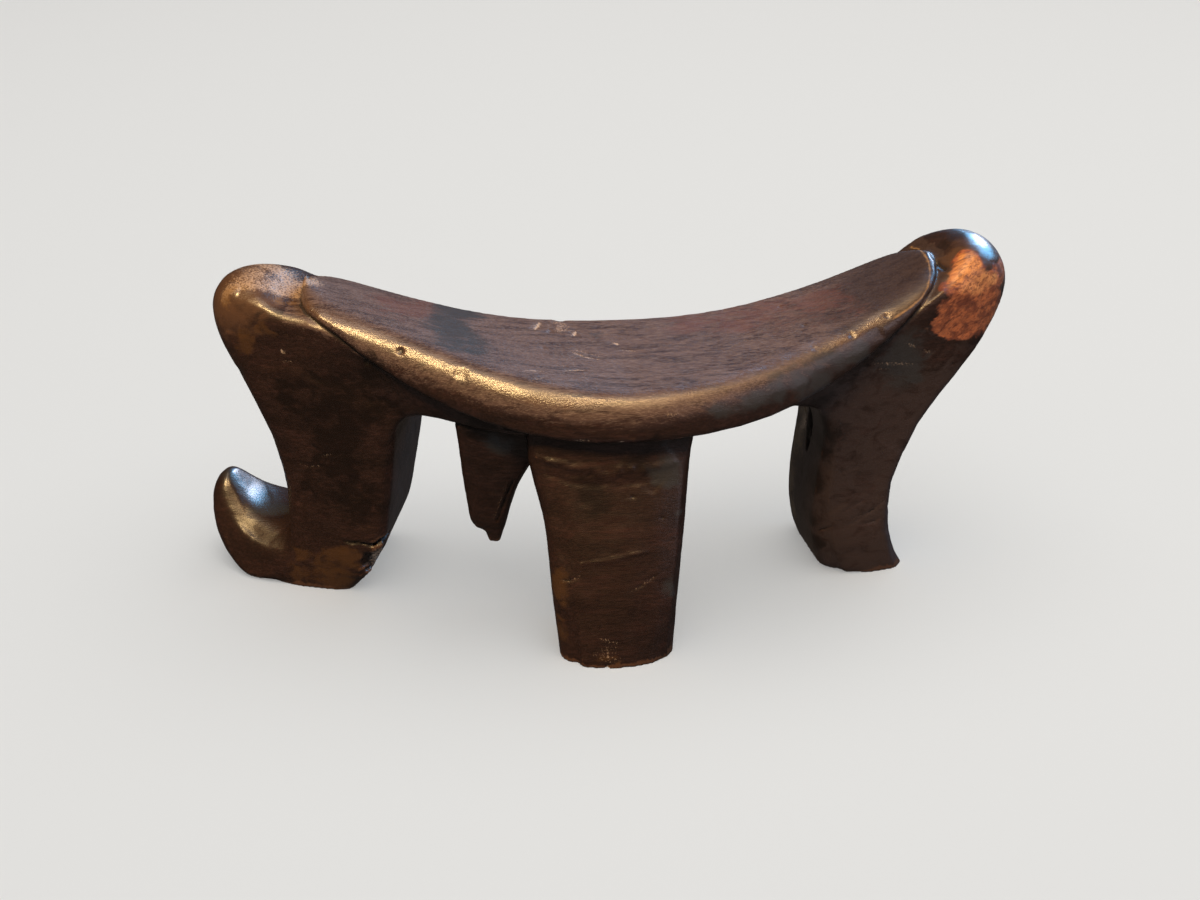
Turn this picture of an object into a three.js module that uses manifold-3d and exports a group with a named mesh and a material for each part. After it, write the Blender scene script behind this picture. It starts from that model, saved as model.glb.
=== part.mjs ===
// A carved headrest, cut in one piece from a forked branch of dark hardwood.
// A bowed beam ends in two rounded knobs that turn down into the end legs. The left leg ends in a
// toe that curls up and outwards. A third, thick leg is splayed to the front, and a short broken
// stub hangs beside it. A raised, leaf-shaped seat lies along the top of the beam.
// Millimetres, +Z up, the front of the headrest towards -Y. The origin is at floor level in the
// middle of the headrest's box.
import * as THREE from "three";
import { mergeVertices } from "three/addons/utils/BufferGeometryUtils.js";
import Module from "manifold-3d";

// The bow: limbs are laid out on a straight beam, at a length s along it, a depth t behind the
// front faces of the end legs and a height z, and are then bent in plan, with the ends swept back.
const BOW_REACH = 110; // length from the middle over which the heading turns
const BOW_SLOPE = 0.28; // sweep of the straight ends beyond that reach
const LEG_LINE = 150; // s of the end legs, where the bow crosses Y = 0

// The seat
const SEAT_LEFT = -180; // s of its left nose
const SEAT_RIGHT = 199; // s of its right nose
const SEAT_FRONT = -31; // depth of the front edge in the middle
const SEAT_BACK = 67; // depth of the back edge in the middle
const SEAT_END_FRONT = 0; // depth of the front edge near both ends
const SEAT_END_BACK = 62; // depth of the back edge near both ends
const SEAT_NOSE_LEFT = 45; // depth of the left nose
const SEAT_NOSE_RIGHT = 40; // depth of the right nose
const NOSE_POWER = 16; // the higher, the blunter the noses
const NOSE_CUT = 0.02; // share of the seat's half turn that is left off at each nose
const SEAT_ROLL = 14; // depth of the rounded front edge
const ROLL_SHARE = 0.3; // most of the seat's depth that the rounded edge may take
const SEAT_ARRIS = 3; // bevel of the lower front edge
const ARRIS_SHARE = 0.3; // most of the front edge's height that this bevel may take
const SEAT_EDGE = 4; // height of the squared back edge
const EDGE_BEVEL = 1.5; // bevel on top of the back edge
const EDGE_UNDERCUT = 1; // how far the back edge's foot is set in, and how far it goes down
const SEAT_STEP = 8; // least height of the front edge, at the noses
const SEAT_HOLLOW = 1.5; // dip of the top between its edges
const SEAT_BED = 3; // how far its underside lies inside the beam
const SEAT_UNDER = 2; // how far the underside rises behind the lower front edge

// How the seat's long lines climb to both sides of their lowest place at s, z: the climb, the
// length over which it is reached and the power of its curve.
const BACK_EDGE = { s: 5, z: 150.5, left: [23.5, 180, 2.4], right: [32, 195, 2.8] };
const TOP_EDGE = { s: 10, z: 147, left: [32, 180, 1.4], right: [38, 185, 2.5] };
const LIP_EDGE = { s: 30, z: 121.5, left: [48, 190, 2.7], right: [55, 160, 2.8] };

// Facets
const CORNER_STEPS = 4; // on each rounded corner of a limb
const CORNER_SHARE = 0.45; // most of a limb's width that one corner may take
const SMOOTH_STEPS = 3; // rings between two stations of a limb
const FRONT_SHARES = [0.2, 0.35, 0.5, 0.65, 0.8]; // places across a limb's crowned front face
const SEAT_RINGS = 30; // along the seat
const ROLL_STEPS = 4; // round the front edge of the seat
const TOP_SHARES = [0.25, 0.5, 0.75]; // places across the seat's top
const UNDER_SHARES = [0.6, 0.3]; // places across its underside, from the back edge
const GRID = 0.02; // spacing of the grid that the finished points are set on

const WOOD = new THREE.MeshStandardMaterial({
  color: 0x3a2417,
  roughness: 0.42,
  metalness: 0,
});

const { clamp, lerp } = THREE.MathUtils;
const wasm = await Module();
wasm.setup();

// Offset in Y and slope of the bow at a length s.
function bow(s) {
  const reach = Math.min(Math.abs(s), BOW_REACH);
  const slope = (BOW_SLOPE * reach) / BOW_REACH;
  const offset = (slope * reach) / 2 + BOW_SLOPE * (Math.abs(s) - reach);
  const atLegs = BOW_SLOPE * (LEG_LINE - BOW_REACH / 2);
  return { offset: offset - atLegs, slope: slope * Math.sign(s) };
}

// A point of the straight beam carried onto the bow. Nothing reaches below the floor.
function bend(s, t, z) {
  const { offset, slope } = bow(s);
  const stretch = Math.hypot(1, slope);
  return new THREE.Vector3(s - (t * slope) / stretch, offset + t / stretch, Math.max(0, z));
}

// Value of one column between two stations, on a Catmull-Rom curve through its neighbours.
function blend(before, value, next, after, x) {
  const x2 = x * x;
  const x3 = x2 * x;
  const leave = ((next - before) / 2) * (x3 - 2 * x2 + x);
  const arrive = ((after - value) / 2) * (x3 - x2);
  return (2 * x3 - 3 * x2 + 1) * value + leave + (3 * x2 - 2 * x3) * next + arrive;
}

// The stations of a limb, with smooth stations laid between them.
function smoothStations(stations) {
  const at = (i) => stations[clamp(i, 0, stations.length - 1)];
  const out = [stations[0]];
  for (let i = 0; i + 1 < stations.length; i++) {
    for (let k = 1; k <= SMOOTH_STEPS; k++) {
      const x = k / SMOOTH_STEPS;
      out.push(stations[i].map((v, c) => blend(at(i - 1)[c], v, at(i + 1)[c], at(i + 2)[c], x)));
    }
  }
  return out;
}

// One ring of a limb: a four-sided section with rounded corners, between an inner and an outer
// line. A station holds the inner s and z, the outer s and z, the front depth at the inner line,
// half way and at the outer line, the back depth, the radius of the inner and of the outer
// corners, and how far the inner line shifts in s for each millimetre of depth.
function limbRing(station) {
  const [innerS, innerZ, outerS, outerZ, frontInner, frontMiddle, frontOuter, back] = station;
  const [innerRadius, outerRadius, shear] = station.slice(8);
  const width = Math.hypot(outerS - innerS, outerZ - innerZ);
  const points = [];
  const put = (across, t) => {
    const share = across / width;
    points.push(bend(lerp(innerS + shear * t, outerS, share), t, lerp(innerZ, outerZ, share)));
  };
  const corner = (across, t, radius, acrossSign, depthSign, quarter) => {
    const r = Math.min(radius, width * CORNER_SHARE);
    for (let k = 0; k <= CORNER_STEPS; k++) {
      const angle = ((quarter + k / CORNER_STEPS) * Math.PI) / 2;
      put(across + acrossSign * r + r * Math.cos(angle), t + depthSign * r + r * Math.sin(angle));
    }
  };
  corner(width, back, outerRadius, -1, -1, 0);
  put(width / 2, back);
  corner(0, back, innerRadius, 1, -1, 1);
  corner(0, frontInner, innerRadius, 1, 1, 2);
  for (const share of FRONT_SHARES) {
    const straight = lerp(frontInner, frontOuter, share);
    const crown = (frontMiddle - (frontInner + frontOuter) / 2) * 4 * share * (1 - share);
    put(width * share, straight + crown);
  }
  corner(width, frontOuter, outerRadius, -1, 1, 3);
  return points;
}

// A closed mesh of merged vertices as a solid for joins and cuts.
function solidOf(positions, triangles) {
  return new wasm.Manifold(
    new wasm.Mesh({
      numProp: 3,
      vertProperties: new Float32Array(positions),
      triVerts: new Uint32Array(triangles),
    }),
  );
}

// A closed solid through rings of equally many points, with a fan over both ends.
function loft(rings) {
  const count = rings[0].length;
  const points = rings.flat();
  const triangles = [];
  for (let i = 0; i + 1 < rings.length; i++) {
    for (let k = 0; k < count; k++) {
      const a = i * count + k;
      const b = i * count + ((k + 1) % count);
      triangles.push(a, a + count, b, b, a + count, b + count);
    }
  }
  const fan = (ring, start, last) => {
    const centre = points.length;
    const middle = ring.reduce((sum, p) => sum.add(p), new THREE.Vector3()).divideScalar(count);
    points.push(middle);
    for (let k = 0; k < count; k++) {
      const a = start + k;
      const b = start + ((k + 1) % count);
      triangles.push(centre, last ? b : a, last ? a : b);
    }
  };
  fan(rings[0], 0, false);
  fan(rings[rings.length - 1], (rings.length - 1) * count, true);
  return solidOf(points.flatMap((p) => p.toArray()), triangles);
}

function limb(stations) {
  return loft(smoothStations(stations).map(limbRing));
}

// The left leg from its foot up to the turn under the knob. Its inner front corner is broken off.
const LEFT_LEG = [
  [-150, 0, -194, 0, -9, -11, -10, 56, 6, 5, 0],
  [-139, 14, -191, 14, -8, -10, -9, 60, 5, 5, -0.07],
  [-131, 31, -189, 30, -6, -7, -6, 63, 5, 6, -0.06],
  [-127, 58, -189, 60, -2, -3, -2, 63, 5, 7, -0.03],
  [-124, 84, -195, 92, 0, -1, 0, 64, 5, 8, 0],
  [-121, 104, -208, 124, 0, 0, 0, 64, 5, 11, 0],
];

// Round the left knob, then along the beam under the seat, then round the right knob.
const BEAM = [
  [-117, 112, -225, 150, 1, 0, 2, 62, 5, 22, 0],
  [-113, 114, -230, 169, 2, 1, 4, 60, 5, 27, 0],
  [-109, 115, -221, 181, 2, 1, 4, 60, 5, 28, 0],
  [-104, 116, -203, 182.5, 2, 1, 3, 60, 5, 22, 0],
  [-98, 116, -186, 174.5, 1, 1, 2, 60, 5, 11, 0],
  [-92, 116, -168, 170.5, 0, 0, 1, 60, 5, 8, 0],
  [-84, 116, -142, 163, -3, -3, -1, 60, 5, 6, 0],
  [-54, 116, -68, 143, -12, -12, -12, 60, 5, 6, 0],
  [0, 114, 0, 137, -18, -18, -18, 60, 5, 6, 0],
  [56, 115, 64, 139, -14, -14, -14, 60, 5, 6, 0],
  [90, 117.5, 128, 148, -6, -6, -5, 60, 5, 8, 0],
  [103, 117, 172, 163, 0, 0, 2, 60, 5, 9, 0.02],
  [110, 114, 199, 181, 2, 1, 3, 60, 5, 14, 0.05],
  [116, 113, 218, 194, 2, 1, 4, 60, 5, 25, 0.07],
  [120, 110, 234, 188, 2, 1, 4, 60, 5, 27, 0.09],
  [123, 106, 242, 169, 2, 1, 3, 60, 5, 26, 0.11],
  [125, 99, 228.5, 144, 1, 0, 1, 60, 5, 18, 0.13],
];

// The right leg from the turn under its knob down to its foot, which flares outwards.
const RIGHT_LEG = [
  [126, 88, 205.5, 118, 0, 0, 0, 60, 7, 9, 0.14],
  [125, 72, 185, 90, 0, -1, -1, 60, 7, 7, 0.14],
  [123, 52, 170, 56, -1, -3, -4, 60, 7, 5, 0.14],
  [123, 30, 168, 30, -2, -7, -8, 59, 8, 5, 0.12],
  [126, 12, 172, 12, -2, -9, -10, 57, 10, 5, 0.1],
  [131, 0, 178, 0, -2, -10, -10, 54, 11, 4, 0.08],
];

// The toe on the left foot: a broad scoop that curls up and outwards to a rounded tip.
const TOE = [
  [-176, 30, -176, 0, -6, -9, -10, 56, 12, 4, 0],
  [-190, 30, -193, 0, -5, -9, -11, 56, 12, 4, 0],
  [-202, 31, -214, 0, -2, -6, -9, 55, 13, 4, 0],
  [-212, 33.5, -227, 5.5, 3, -1, -3, 53, 13, 7, 0],
  [-220, 38.5, -237, 15.5, 7, 5, 3, 49, 12, 10, 0],
  [-226.5, 45.5, -241.5, 28, 12, 10, 9, 43, 9, 10, 0],
  [-231, 52, -242, 41, 17, 16, 15, 37, 6, 6, 0],
  [-234, 53.5, -239, 50, 24, 24, 24, 30, 1, 1, 0],
];

// The thick front leg, splayed forwards and tapering to its foot.
const FRONT_LEG = [
  [-46, 130, 46, 130, -17, -21, -17, 36, 8, 6, 0],
  [-44.5, 103, 41, 103, -24, -27, -24, 26, 9, 5.5, 0],
  [-36.5, 73, 36.5, 73, -36, -40, -37, 12, 9, 5, 0],
  [-32, 36, 31.5, 36, -51, -55, -51, -5, 9, 4.5, 0],
  [-28, 0, 28, 0, -61, -67, -59, -20, 9, 4, 0],
];

// The broken stub beside the front leg, with its stepped tip.
const STUB = [
  [-88, 124, -36, 124, -4, -5, -4, 34, 6, 6, 0],
  [-86, 100, -40.5, 100, -2, -3, -2, 31, 6, 6, 0],
  [-84.5, 76, -52.5, 76, 0, -1, 0, 28, 5, 5, 0],
  [-82.5, 55, -59, 55, 2, 1, 2, 24, 4, 4, 0],
  [-80.5, 47, -61, 47, 3, 2, 3, 21, 4, 4, 0],
  [-74, 43.5, -62.5, 43.5, 3, 3, 3, 19, 3, 3, 0],
  [-71, 36.5, -64.5, 36.5, 4, 4, 4, 16, 2, 2, 0],
];

// The height at s of a long line of the seat.
function heightOf(line, s) {
  const [climb, reach, power] = s < line.s ? line.left : line.right;
  return line.z + climb * Math.pow(Math.abs(s - line.s) / reach, power);
}

// One ring of the seat: a squared back edge, a nearly flat top and a thick rolled front edge with
// a sharp lower arris. The underside lies inside the beam.
function seatRing(s) {
  const out = Math.abs(s / (s < 0 ? SEAT_LEFT : SEAT_RIGHT));
  const nose = Math.sqrt(1 - Math.pow(out, NOSE_POWER));
  const swell = Math.pow(Math.cos((out * Math.PI) / 2), 2);
  const tip = s < 0 ? SEAT_NOSE_LEFT : SEAT_NOSE_RIGHT;
  const front = lerp(tip, lerp(SEAT_END_FRONT, SEAT_FRONT, swell), nose);
  const back = lerp(tip, lerp(SEAT_END_BACK, SEAT_BACK, swell), nose);
  const backZ = heightOf(BACK_EDGE, s);
  const topZ = heightOf(TOP_EDGE, s);
  const lowZ = Math.min(heightOf(LIP_EDGE, s), topZ - SEAT_STEP);
  const roll = Math.min(SEAT_ROLL, (back - front) * ROLL_SHARE);
  const arris = Math.min(SEAT_ARRIS, (topZ - lowZ) * ARRIS_SHARE);
  const bedZ = Math.min(lowZ + SEAT_UNDER, backZ - SEAT_EDGE - SEAT_BED);
  const points = [];
  const put = (t, z) => points.push(bend(s, t, z));
  put(lerp(back, front, UNDER_SHARES[0]), bedZ);
  put(front + arris, lowZ);
  put(front + arris * ARRIS_SHARE, lowZ + arris * ARRIS_SHARE);
  for (let k = ROLL_STEPS; k >= 0; k--) {
    const angle = ((k / ROLL_STEPS) * Math.PI) / 2;
    put(front + roll * (1 - Math.sin(angle)), lerp(lowZ + arris, topZ, Math.cos(angle)));
  }
  for (const share of TOP_SHARES) {
    const hollow = SEAT_HOLLOW * Math.sin(Math.PI * share) * swell;
    put(lerp(front + roll, back, share), lerp(topZ, backZ, share) - hollow);
  }
  put(back - EDGE_BEVEL, backZ);
  put(back, backZ - SEAT_EDGE / 2);
  put(back - EDGE_UNDERCUT, backZ - SEAT_EDGE - EDGE_UNDERCUT);
  put(lerp(back, front, UNDER_SHARES[1]), bedZ);
  return points;
}

// The leaf-shaped seat, with rings closer together towards its noses.
function seat() {
  const rings = [];
  for (let i = 0; i <= SEAT_RINGS; i++) {
    const turn = Math.PI * lerp(NOSE_CUT, 1 - NOSE_CUT, i / SEAT_RINGS);
    rings.push(seatRing(lerp(SEAT_LEFT, SEAT_RIGHT, (1 - Math.cos(turn)) / 2)));
  }
  return loft(rings);
}

// A rough-faced hollow to cut where wood has broken away, with its middle at (s, t, z).
function gouge(s, t, z, size) {
  const ball = new THREE.IcosahedronGeometry(1, 1);
  ball.deleteAttribute("normal");
  ball.deleteAttribute("uv");
  const merged = mergeVertices(ball);
  const centre = bend(s, t, z);
  merged.scale(...size);
  merged.translate(centre.x, centre.y, centre.z);
  return solidOf(merged.attributes.position.array, merged.index.array);
}

// The triangles left once those are dropped that have closed up to a line or folded onto another.
function openTriangles(corners) {
  const kept = new Map();
  for (let i = 0; i < corners.length; i += 3) {
    const triangle = Array.from(corners.slice(i, i + 3));
    const key = triangle.toSorted().join();
    if (new Set(triangle).size < 3 || kept.delete(key)) continue;
    kept.set(key, triangle);
  }
  return [...kept.values()].flat();
}

// The solid as a named mesh, moved so that its origin is the middle of its box at floor level.
// Its points are set on a fine grid, so that those left almost together by the joins are one.
function meshOf(solid, name) {
  const { vertProperties, triVerts } = solid.getMesh();
  const cut = new THREE.BufferGeometry();
  cut.setAttribute("position", new THREE.BufferAttribute(vertProperties, 3));
  cut.setIndex(new THREE.BufferAttribute(triVerts, 1));
  cut.computeBoundingBox();
  const { min, max } = cut.boundingBox;
  cut.translate(-(min.x + max.x) / 2, -(min.y + max.y) / 2, -min.z);
  cut.attributes.position.array.forEach((v, i, all) => (all[i] = Math.round(v / GRID) * GRID));
  const geometry = mergeVertices(cut, GRID / 4);
  geometry.setIndex(openTriangles(geometry.index.array));
  geometry.computeVertexNormals();
  const mesh = new THREE.Mesh(geometry, WOOD);
  mesh.name = name;
  return mesh;
}

// Where wood has broken away: the inner corner of the left foot and a knot in the right leg.
const FOOT_BREAK = gouge(-134, -6, 19, [11, 7, 9]);
const KNOT_HOLE = gouge(126, 50, 74, [7, 12, 11]);

const arch = limb([...LEFT_LEG, ...BEAM, ...RIGHT_LEG]);
const carved = [arch, limb(TOE), limb(FRONT_LEG), limb(STUB), seat()]
  .reduce((whole, piece) => whole.add(piece))
  .subtract(FOOT_BREAK)
  .subtract(KNOT_HOLE);

const headrest = new THREE.Group();
headrest.add(meshOf(carved, "headrest"));
export default headrest;
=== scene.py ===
# %% [markdown]
# # A carved headrest
# The real object is cut in one piece from a forked branch of dark hardwood. Years of handling have
# polished it, so it shows a warm gloss on its edges, smoke-dark hollows, tool cuts, old cracks and
# one place where the patina has worn through to bare wood. The frame holds its form at real size.
# Here it gets the surface that a hand would feel and the finish that the eye sees.

import math

import bmesh
import bpy
import numpy as np
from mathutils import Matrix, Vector
from mathutils.bvhtree import BVHTree
from mathutils.kdtree import KDTree


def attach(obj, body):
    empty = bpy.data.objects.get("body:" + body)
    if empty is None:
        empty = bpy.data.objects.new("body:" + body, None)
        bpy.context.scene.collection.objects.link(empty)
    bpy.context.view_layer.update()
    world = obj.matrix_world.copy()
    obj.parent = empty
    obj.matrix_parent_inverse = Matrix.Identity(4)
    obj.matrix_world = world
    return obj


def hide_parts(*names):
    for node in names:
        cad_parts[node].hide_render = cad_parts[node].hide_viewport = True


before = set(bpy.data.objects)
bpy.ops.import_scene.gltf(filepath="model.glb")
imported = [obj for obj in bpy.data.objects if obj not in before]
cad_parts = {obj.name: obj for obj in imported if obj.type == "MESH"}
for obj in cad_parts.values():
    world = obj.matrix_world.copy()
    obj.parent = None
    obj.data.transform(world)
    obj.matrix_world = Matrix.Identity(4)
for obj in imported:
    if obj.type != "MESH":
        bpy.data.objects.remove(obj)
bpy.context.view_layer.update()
MM = 0.001

# %% [markdown]
# ## The camera
# The camera comes first, because every later choice is judged through it. It could be dragged
# into place by eye. Here it is aimed by two angles and a distance instead, as a photographer
# would note them: from just left of the middle, looking down by 30 degrees, 0.95 m away.

# %% Set up the camera
CAMERA_AIM = Vector((-4.0, -2.1, 92.0)) * MM
CAMERA_DISTANCE = 0.95
CAMERA_AZIMUTH = math.radians(-3.5)
CAMERA_ELEVATION = math.radians(30)
CAMERA_LENS = 50
FILM_WIDTH = 36

bpy.ops.object.select_all(action="DESELECT")
bpy.ops.object.camera_add()
camera = bpy.context.active_object
camera.name = "camera"
camera.data.lens = CAMERA_LENS
camera.data.sensor_width = FILM_WIDTH
towards_camera = Vector((
    math.sin(CAMERA_AZIMUTH) * math.cos(CAMERA_ELEVATION),
    -math.cos(CAMERA_AZIMUTH) * math.cos(CAMERA_ELEVATION),
    math.sin(CAMERA_ELEVATION),
))
camera.location = CAMERA_AIM + towards_camera * CAMERA_DISTANCE
camera.rotation_euler = towards_camera.to_track_quat("Z", "Y").to_euler()
bpy.context.scene.camera = camera
print("the camera stands at", [round(v, 3) for v in camera.location])

# %% [markdown]
# ## From the faceted solid to one skin of wood
# The frame's node is made of flat facets, and its limbs meet in hard creases. A carver's surface
# runs on from limb to limb. One way is to subdivide, but the facets are uneven and it would pinch.
# A voxel remesh gives even, small faces that follow the same form, ready to be carved. The mesh is
# copied, its loose triangles are merged first, and its sharp edges are noted before they are lost.

# %% Copy the node
SAME_PLACE = 0.01 * MM

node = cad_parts["headrest"]
bpy.ops.object.select_all(action="DESELECT")
carving = bpy.data.objects.new("carved_headrest", node.data.copy())
bpy.context.scene.collection.objects.link(carving)
carving.select_set(True)
bpy.context.view_layer.objects.active = carving
skin = carving.data

bpy.ops.object.mode_set(mode="EDIT")
bpy.ops.mesh.select_all(action="SELECT")
bpy.ops.mesh.remove_doubles(threshold=SAME_PLACE)
bpy.ops.object.mode_set(mode="OBJECT")
print("the copy has", len(skin.vertices), "points and", len(skin.polygons), "facets")

# %% Note its sharp edges
SHARP = math.radians(33)
ROUNDED = (  # x from and to, and z from and to, of the two knobs and the toe, which have none
    (-240, -176, 135, 200),
    (198, 240, 135, 200),
    (-240, -184, 17, 75),
)


def is_round(place):
    return any(a < place.x < b and c < place.z < d for a, b, c, d in ROUNDED)


form = bmesh.new()
form.from_mesh(skin)
ridges, creases = [], []
for edge in form.edges:
    angle = edge.calc_face_angle_signed(0)
    a, b = (corner.co / MM for corner in edge.verts)
    if abs(angle) > SHARP and not is_round(a):
        steps = int((b - a).length) + 2
        line = [a.lerp(b, k / (steps - 1)) for k in range(steps)]
        (ridges if angle > 0 else creases).extend(line)
form.free()
print(len(ridges), "places on sharp ridges,", len(creases), "in sharp creases")

# %% Remesh it with even faces
VOXEL = 0.9 * MM

remesh = carving.modifiers.new("even faces", "REMESH")
remesh.mode = "VOXEL"
remesh.voxel_size = VOXEL
bpy.ops.object.modifier_apply(modifier=remesh.name)
print("the skin has", len(skin.vertices), "points")

# %% [markdown]
# ## A map of the branch
# The beam is bowed in plan, so a place on the wood is easier to name along the branch: a length s
# from its middle, a depth t behind the front faces of the end legs, and a height z. A curve object
# could bend a straight carving, but the marks have to land on wood that is bowed already. So the
# few numbers that bow the solid are used again, to turn any point of the skin back into s and t.

# %% Lay out lengths and depths along the bow
BOW_SLOPE = 0.28  # how far the straight ends run back for each millimetre outwards
BOW_REACH = 110  # the s from where the beam runs on straight
LEG_LINE = 150  # the s of the end legs, where the bow crosses y = 0
BOX_SHIFT = np.array([1.0, 7.9, 0.0])  # centres the headrest's box on the origin
GUESSES = 12  # rounds that it takes to find s from x
BEAM_END = -230.0


def bow(s):
    reach = np.minimum(np.abs(s), BOW_REACH)
    slope = BOW_SLOPE * reach / BOW_REACH
    offset = slope * reach / 2 + BOW_SLOPE * (np.abs(s) - reach)
    return offset - BOW_SLOPE * (LEG_LINE - BOW_REACH / 2), slope * np.sign(s)


def unbend(points):
    """The s, t and z of points in millimetres."""
    x, y, z = (points - BOX_SHIFT).T
    s, t = x.copy(), y.copy()
    for _ in range(GUESSES):
        offset, slope = bow(s)
        stretch = np.hypot(1, slope)
        t = (y - offset) * stretch
        s = x + t * slope / stretch
    return np.stack([s, t, z], 1)


def bend(s, t, z):
    offset, slope = bow(np.asarray(s, float))
    stretch = np.hypot(1, slope)
    return np.stack([s - t * slope / stretch, offset + t / stretch, z + 0 * s], -1) + BOX_SHIFT


def points_of(mesh):
    out = np.empty(len(mesh.vertices) * 3, np.float32)
    mesh.vertices.foreach_get("co", out)
    return out.reshape(-1, 3).astype(float) / MM


def normals_of(mesh):
    out = np.empty(len(mesh.vertices) * 3, np.float32)
    mesh.vertex_normals.foreach_get("vector", out)
    return out.reshape(-1, 3).astype(float)


def put_points(mesh, points):
    mesh.vertices.foreach_set("co", (points * MM).astype(np.float32).ravel())
    mesh.update()


print("the bow sweeps the end back by", round(float(bow(np.array(BEAM_END))[0]), 1), "mm")

# %% [markdown]
# ## Hand tools
# The skin could be shaped with sculpt brushes, stroke by stroke. A brush moves the points under
# it, and numpy moves all of them at once: to smooth, each point goes towards the mean of its
# neighbours, and to plane a corner, every point outside a plane is laid onto it. A lattice of
# random values, blended smoothly, gives uneven surfaces that are the same on every run.

# %% Make the tools
SEED = 7
LATTICE_SIZE = 48
START = 100  # the cell of the lattice that lies at the origin

chance = np.random.default_rng(SEED)
LATTICE = chance.uniform(-1, 1, (LATTICE_SIZE, LATTICE_SIZE, LATTICE_SIZE))


def smoothed(points, pairs, strength, rounds):
    """Points moved towards the mean of their neighbours, round by round."""
    count = len(points)
    degree = np.bincount(pairs.ravel(), minlength=count)
    one, other = pairs.T
    for _ in range(rounds):
        mean = np.empty_like(points)
        for axis in range(3):
            column = points[:, axis]
            total = np.bincount(one, column[other], count)
            total = total + np.bincount(other, column[one], count)
            mean[:, axis] = total / degree
        points = points + strength[:, None] * (mean - points)
    return points


def waves(points, *sizes):
    """Smooth noise from -1 to 1, with waves of a size in mm along each axis."""
    steps = points / np.array(sizes) + START
    cell = np.floor(steps).astype(int)
    share = steps - cell
    share = share * share * (3 - 2 * share)
    total = np.zeros(len(points))
    for corner in np.ndindex(2, 2, 2):
        weight = np.prod(np.where(corner, share, 1 - share), axis=1)
        total += weight * LATTICE[tuple(((cell + corner) % len(LATTICE)).T)]
    return total


def tree_of(places):
    tree = KDTree(len(places))
    for i, place in enumerate(places):
        tree.insert(place, i)
    tree.balance()
    return tree


def gaps_to(points, places):
    """How far each point lies from the nearest of some places."""
    find = tree_of(places).find
    return np.array([find(point)[2] for point in points])


def rise(values, start, length):
    """Shares that rise evenly from 0, where the values are at a start, to 1, a length further."""
    return np.clip((values - start) / length, 0, 1)


def near(points, spots):
    """How near each point is to some places that have a radius, from 0 to 0.5."""
    nearness = np.zeros(len(points))
    for place, radius in spots:
        share = 1.4 - np.linalg.norm(points - place, axis=1) / radius
        nearness = np.maximum(nearness, np.clip(share, 0, 0.5))
    return nearness


def joins_of(mesh):
    """The pairs of neighbouring points."""
    pairs = np.empty(len(mesh.edges) * 2, np.int32)
    mesh.edges.foreach_get("vertices", pairs)
    return pairs.reshape(-1, 2)


bumpy = waves(points_of(skin)[::100], 20, 20, 20)
print("the noise runs from", round(bumpy.min(), 2), "to", round(bumpy.max(), 2))

# %% Smooth the facets away, but not the sharp edges
SMOOTH_ROUNDS = 70
GENTLE = 0.2
FIRMER = 0.3  # added on the knobs and the toe
KNOBS_FROM = 180  # s, to both sides
KNOBS_ABOVE = 110
TOE_FROM = 181  # x, to the left
TOE_BELOW = 80
EDGE_CORE = 0.5
EDGE_REACH = 7
LEAST = 0.08  # the share of smoothing that reaches a sharp edge
WORN_ROUND = (  # place and radius
    ((189, 54, 186), 7), ((-194, 21, 28), 9), ((-190, 17, 23), 10), ((-180, 19, 169), 6),
    ((-191, 24, 167), 9), ((-186, 25, 172), 8), ((-198, 27, 175), 9), ((-190, 30, 177), 9),
    ((-176, 19, 171), 6), ((-171, 14, 169), 5), ((204, 31, 183), 9), ((197, 27, 179), 6),
)

pairs = joins_of(skin)
points = points_of(skin)
places = unbend(points)
edge_gap = gaps_to(points, ridges + creases)
on_knobs = rise(np.abs(places[:, 0]), KNOBS_FROM, 15) * rise(places[:, 2], KNOBS_ABOVE, 30)
on_toe = rise(-points[:, 0], TOE_FROM, 6) * rise(-points[:, 2], -TOE_BELOW, 10)
strength = GENTLE + FIRMER * np.maximum(on_knobs, on_toe)
strength *= np.maximum(rise(edge_gap, EDGE_CORE, EDGE_REACH), LEAST)
points = smoothed(points, pairs, strength, SMOOTH_ROUNDS)
points = smoothed(points, pairs, near(points, WORN_ROUND), SMOOTH_ROUNDS)
print("smoothed", len(points), "points; the branch runs from s",
      round(places[:, 0].min()), "to", round(places[:, 0].max()), "mm")

# %% [markdown]
# ## Planed corners
# The carver took the long corners of the legs off with a knife, so each leg shows a narrow, crisp
# chamfer that catches the light. A bevel needs a clean edge, and the even skin has none. So each
# chamfer is given by its corner's line on the branch, the way it faces and how deep it is cut, and
# the points that stand out past it are laid onto its plane.

# %% Plane the corners of the legs
CHAMFERS = {
    # name: s, t and z along the corner, the way it faces in s and t, depth
    "front leg, right": ([(41, -24, 103), (36.5, -37, 73), (31.5, -51, 36), (28, -59, 0),
                          (27, -61, -12)], (1, -1), 3.6),
    "left leg, outer": ([(-213, 4, 136), (-208, 0, 124), (-195, 0, 92), (-189, -2, 60),
                         (-189, -4, 46)], (-1, -1), 4.4),
    "left leg, inner": ([(-121, 0, 104), (-124, 0, 84), (-127, -2, 58), (-131, -6, 31)],
                        (1, -1), 3.0),
    "right leg, inner": ([(126, 0, 96), (125, 0, 72), (123, -1, 52), (123, -2, 30),
                          (125, -3, 12), (128, -5, 0), (130, -7, -12)], (-1, -1), 5.2),
    "right leg, outer": ([(205.5, 0, 118), (185, -1, 90), (170, -4, 56), (168, -8, 30),
                          (172, -10, 12), (178, -10, 0), (183, -10, -12)], (1, -1), 3.4),
    "stub, left": ([(-86, -2, 100), (-84.5, 0, 76), (-82.5, 2, 55)], (-1, -1), 2.8),
}
PLANE_REACH = 11
STATIONS = 60
RUN_OUT = 6  # stations over which a chamfer runs out at its ends

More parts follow.
